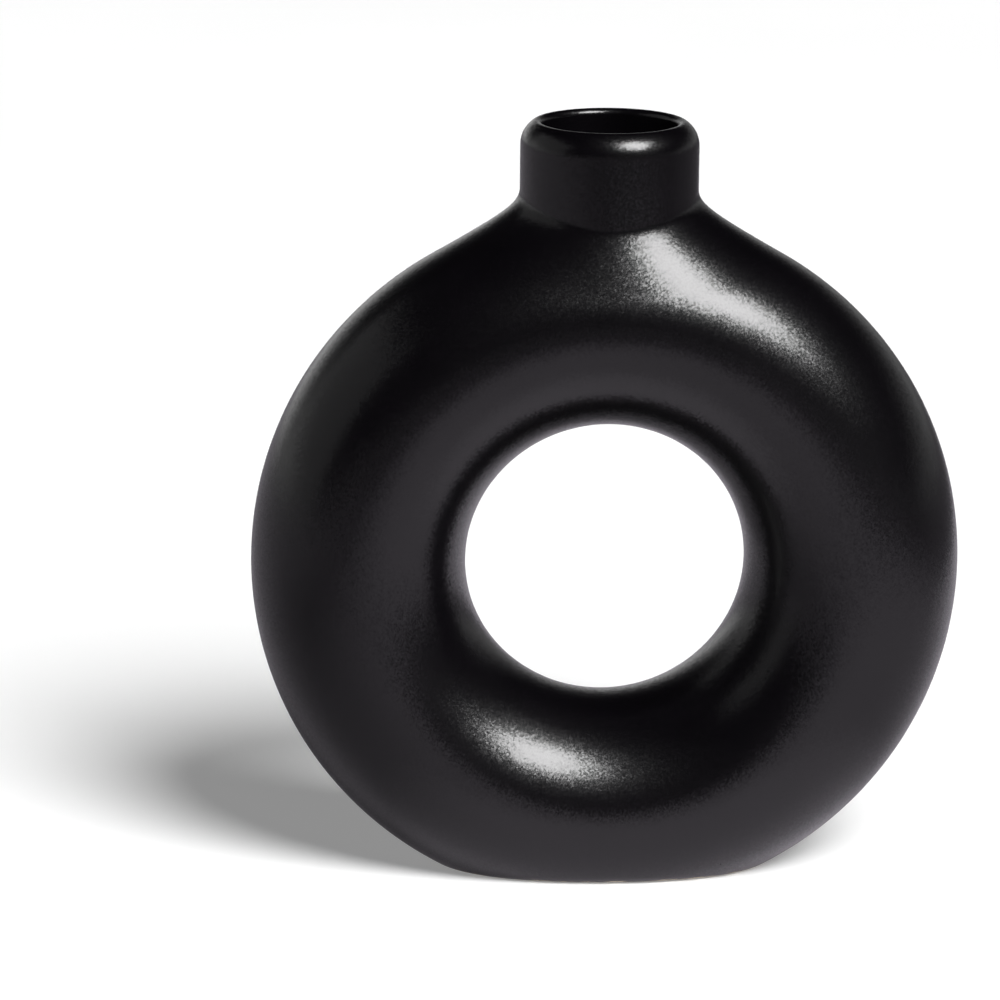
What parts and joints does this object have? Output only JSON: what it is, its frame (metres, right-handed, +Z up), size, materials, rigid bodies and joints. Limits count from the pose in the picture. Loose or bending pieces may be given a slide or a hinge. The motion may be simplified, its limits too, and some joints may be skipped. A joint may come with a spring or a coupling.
{
  "type": "ring-shaped flower vase",
  "caption": "Upright hollow ring of black glazed stoneware with a short round neck on top and a flat foot; holds water and flower stems.",
  "frame": {"origin": "middle of the foot, on the surface that the vase stands on", "axes": "+Z up, along the neck's axis; the ring's axis lies along Y and the front faces -Y; +X to the right seen from the front"},
  "size_m": [0.18, 0.062, 0.1921],
  "materials": {
    "satin_black_glaze": "satin",
    "gloss_black_lining": "gloss",
    "bare_stoneware": "matte, unglazed",
    "joining_slip": "satin, under the glaze"
  },
  "bodies": {
    "root": {"front_half_ring": "satin_black_glaze", "rear_half_ring": "satin_black_glaze", "half_joint_slip": "joining_slip", "neck_collar": "satin_black_glaze", "neck_joint_slip": "joining_slip", "foot_slab": "bare_stoneware", "foot_joint_slip": "joining_slip", "inner_glaze": "gloss_black_lining"}
  },
  "joints": []
}
